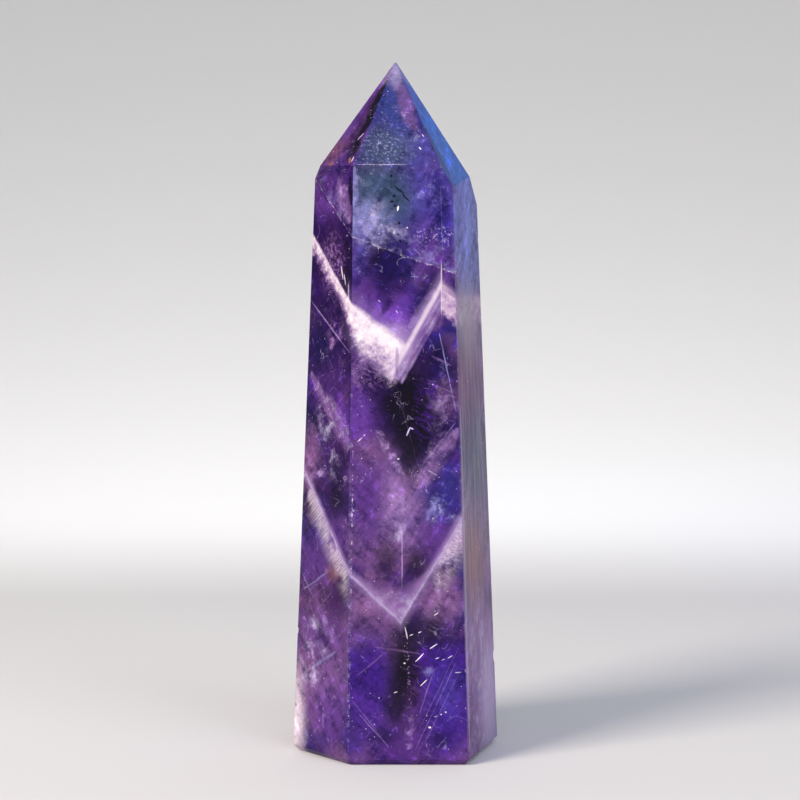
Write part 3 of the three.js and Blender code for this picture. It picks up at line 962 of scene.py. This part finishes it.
    turned = heightAbove(tree, shared["crisp"], "beyond")
    turned = addNode(tree, "Math", [cloud, 2, turned], operation="MULTIPLY_ADD")
    high = addNode(tree, "MapRange", [z, *upperBand["beyondLowest"]], **smooth)
    beyond = addNode(tree, "MapRange", [pastSeam, -0.1, 0.1, 0, high], **smooth)
    cover = addNode(tree, "MapRange", [turned, *upperBand["beyondTop"], 0, beyond], **smooth)
    cover = addNode(tree, "MapRange", [turned, *upperBand["beyondFoot"], 0, cover], **smooth)
    yield cover, linear(tones["mauve"])
    cover = addNode(tree, "MapRange", [fibrous, 0.5, 1.8, 0, cover], **smooth)
    yield cover, linear(tones["cream"])

    line = addNode(tree, "Math", [pastSeam], operation="ABSOLUTE")
    away = addNode(tree, "Math", [z, upperBand["sutureShows"]], operation="SUBTRACT")
    away = addNode(tree, "Math", [away], operation="ABSOLUTE")
    plain = addNode(tree, "MapRange", [away, 4.4, 2.4, 0, 0.7], **smooth)
    wide = upperBand["sutureLine"]
    line = addNode(tree, "MapRange", [line, wide, 0.02, 0, plain], **smooth)
    yield line, linear(tones["milk"])


# Two kinds of pale specks that are also painted glints: mm from one to the next, the largest
# one's radius in mm, and how many places stay empty
fleckAndGlintKinds = ((0.6, 0.085, 0.4), (1.7, 0.15, 0.7))


def flecksAndGlints(tree, shared):
    # small pale bubbles and chips inside: partly their own pale colour, partly painted glints
    for apart, largest, empty in fleckAndGlintKinds:
        cells = addNode(tree, "TexVoronoi", {"Vector": shared["crisp"], "Scale": 1 / apart})
        chosen = addNode(tree, "SeparateColor", [cells.outputs["Color"]])
        chance = chosen.outputs[0]
        size = addNode(
            tree, "MapRange", [chance, empty, 1, 0, largest / apart], clamp=False,
        )
        size = addNode(tree, "Math", [size, cells.outputs["Distance"]], operation="SUBTRACT")
        cover = addNode(tree, "MapRange", [size, 0, 0.05, 0, chosen.outputs[1]], **smooth)
        yield cover, linear(tones["frost"])


# How strongly the painted highlight and the painted glint dashes on the rounded edges show
paintedEdgeLight = {"edgeSheen": 0.16, "glintDashes": 0.4}


def edgeHighlightsAndChips(tree, shared):
    # the rounded edges get a faint painted highlight with brighter painted glint dashes, and each
    # nick is paler, partly its own chipped quartz and partly a painted glint
    depth = addNode(tree, "Attribute", attribute_name="depth").outputs["Fac"]
    # painted highlight on the rounded edges
    edgeSheen = addNode(tree, "MapRange", [depth, 0.004, 0.03, 0, paintedEdgeLight["edgeSheen"]], **smooth)
    yield edgeSheen, linear(tones["lavender"])
    # painted glint dashes along them
    glintDashes = addNode(tree, "MapRange", [depth, 0.012, 0.026, 0, paintedEdgeLight["glintDashes"]], **smooth)
    glintDashes = addNode(tree, "Math", [glintDashes, shared["glintDashes"]], operation="MULTIPLY")
    yield glintDashes, linear(tones["lilac"])
    # the nicks: partly pale chipped quartz, partly painted glint
    chipsAndGlints = addNode(tree, "Math", [shared["grain"], 0.5, 0.05], operation="MULTIPLY_ADD")
    chipsAndGlints = addNode(tree, "MapRange", [depth, 0.08, 0.3, 0, chipsAndGlints], **smooth)
    yield chipsAndGlints, linear(tones["mist"])


def makeAmethyst(name):
    # one flat's own stretch of the stone
    material = bpy.data.materials.new("polishedAmethyst" + name[0].upper() + name[1:])
    material.use_nodes = True
    tree = material.node_tree
    tree.nodes.clear()
    output = addNode(tree, "OutputMaterial")
    at = addNode(tree, "TexCoord").outputs["Object"]
    place = addNode(tree, "VectorMath", {0: at, "Scale": 1 / mm}, operation="SCALE")
    x, y, z = addNode(tree, "SeparateXYZ", [place]).outputs
    shared = sharedFields(tree, place, name)

    # from the bottom layer to the top one
    layers = [broadZones(tree, place), patchesThrough(tree, shared, name, over=False)]
    layers += [growthSheets(tree, shared), veils(tree, shared), healedCrack(tree, shared)]
    if not name.startswith("tip"):
        layers += [lowerChevron(tree, shared, x), upperChevron(tree, shared, x, z)]
    layers += [patchesThrough(tree, shared, name, over=True)]
    layers += [flecksAndGlints(tree, shared), edgeHighlightsAndChips(tree, shared)]
    look = linear(tones[grounds[name]])
    for layer in layers:
        for cover, colour, *blend in layer:
            laid = addNode(
                tree, "Mix", {0: cover, 6: look, 7: colour}, data_type="RGBA",
                blend_type=blend[0] if blend else "MIX",
            )
            look = laid.outputs[2]

    # the paler the quartz is, the milkier: light goes into it less far, and its polish is duller
    milk = addNode(tree, "MapRange", [look, *amethyst["milky"]])
    seeThrough = addNode(tree, "MapRange", [milk, 0, 1, amethyst["seeThrough"], 0])
    gloss = addNode(tree, "MapRange", [milk, 0, 1, *amethyst["roughness"]])
    swell = drawnOut(tree, place, amethyst["swells"], 1, 0.5)
    relief = addNode(tree, "Bump", {"Height": swell, "Distance": amethyst["waviness"] * mm})
    surface = addNode(
        tree, "BsdfPrincipled",
        {"Base Color": look, "Roughness": gloss, "IOR": amethyst["ior"],
         "Specular IOR Level": amethyst["specular"], "Transmission Weight": seeThrough,
         "Normal": relief},
    )
    inside = addNode(
        tree, "VolumeAbsorption",
        {"Color": linear(amethyst["absorption"]), "Density": amethyst["absorptionDensity"]},
    )
    tree.links.new(surface.outputs[0], output.inputs["Surface"])
    tree.links.new(inside.outputs[0], output.inputs["Volume"])
    return material


for name in windows:
    stone.data.materials.append(makeAmethyst(name))
print("stage 3: the amethyst is mixed for", len(stone.data.materials), "flats")
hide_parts("obelisk")
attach(stone, "root")
print("stage 4: the stone is finished in amethyst")


# Stage: a plain pale floor that sweeps up gently all round
stage = {
    "innerRadius": 168,  # mm, of its innermost ring
    "flatRadius": 420,  # mm
    "sweepRadius": 1300,  # mm
    "sweep": 75,  # degrees
    "steps": 16,
    "sides": 96,
    "colour": "#e2e1e0",
    "roughness": 0.9,
}


def makeFloor():
    profile = [(stage["innerRadius"], 0)]
    for step in range(stage["steps"] + 1):
        angle = math.radians(stage["sweep"] * step / stage["steps"])
        profile.append((
            stage["flatRadius"] + stage["sweepRadius"] * math.sin(angle),
            stage["sweepRadius"] * (1 - math.cos(angle)),
        ))
    shape = bmesh.new()
    rings = []
    for radius, height in profile:
        ring = []
        for side in range(stage["sides"]):
            angle = 2 * math.pi * side / stage["sides"]
            ring.append(shape.verts.new(
                Vector((radius * math.cos(angle), radius * math.sin(angle), height)) * mm
            ))
        rings.append(ring)
    shape.faces.new(rings[0])
    for low, high in zip(rings, rings[1:]):
        for side in range(stage["sides"]):
            after = (side + 1) % stage["sides"]
            shape.faces.new((low[after], low[side], high[side], high[after]))
    for face in shape.faces:
        face.smooth = True
    mesh = bpy.data.meshes.new("floor")
    shape.to_mesh(mesh)
    shape.free()
    floor = bpy.data.objects.new("floor", mesh)
    scene.collection.objects.link(floor)
    material = bpy.data.materials.new("matteFloor")
    material.use_nodes = True
    paint = material.node_tree.nodes["Principled BSDF"]
    paint.inputs["Base Color"].default_value = linear(stage["colour"])
    paint.inputs["Roughness"].default_value = stage["roughness"]
    mesh.materials.append(material)


makeFloor()

# Lights: each is a soft panel, its place and aim in mm, its size in mm, its power in watts
panels = {
    "key": {"at": (-520, -420, 520), "size": 300, "power": 6.2, "colour": "#fff4e6"},
    "fill": {"at": (520, -560, 260), "size": 420, "power": 2, "colour": "#eef0ff"},
    "sky": {"at": (60, -420, 760), "size": 420, "power": 0.8, "colour": "#c9dcff"},
    "backdrop": {"at": (0, 300, 520), "aim": (0, 1500, 200), "size": 500, "power": 3.6,
                 "colour": "#ffffff"},
    "opposite": {"at": (0, -300, 520), "aim": (0, -1500, 200), "size": 500, "power": 3,
                 "colour": "#ffffff"},
    "blue": {"at": (318, 438, 314), "size": 170, "power": 0.13, "colour": "#5f97ff"},
}
middle = (0, 0, 50)  # mm: where a panel points unless it has an aim of its own
world = {"colour": "#dfe1e8", "strength": 0.5}


def makeLights():
    for name, panel in panels.items():
        lamp = bpy.data.lights.new(name, "AREA")
        lamp.size = panel["size"] * mm
        lamp.energy = panel["power"]
        lamp.color = linear(panel["colour"])[:3]
        holder = bpy.data.objects.new(name, lamp)
        scene.collection.objects.link(holder)
        holder.location = Vector(panel["at"]) * mm
        aim = Vector(panel.get("aim", middle)) * mm - holder.location
        holder.rotation_euler = aim.to_track_quat("-Z", "Y").to_euler()
        holder.visible_camera = False
    surroundings = bpy.data.worlds.new("surroundings")
    surroundings.use_nodes = True
    glow = surroundings.node_tree.nodes["Background"]
    glow.inputs["Color"].default_value = linear(world["colour"])
    glow.inputs["Strength"].default_value = world["strength"]
    scene.world = surroundings


makeLights()
print("stage 5: floor, lights and camera are set")
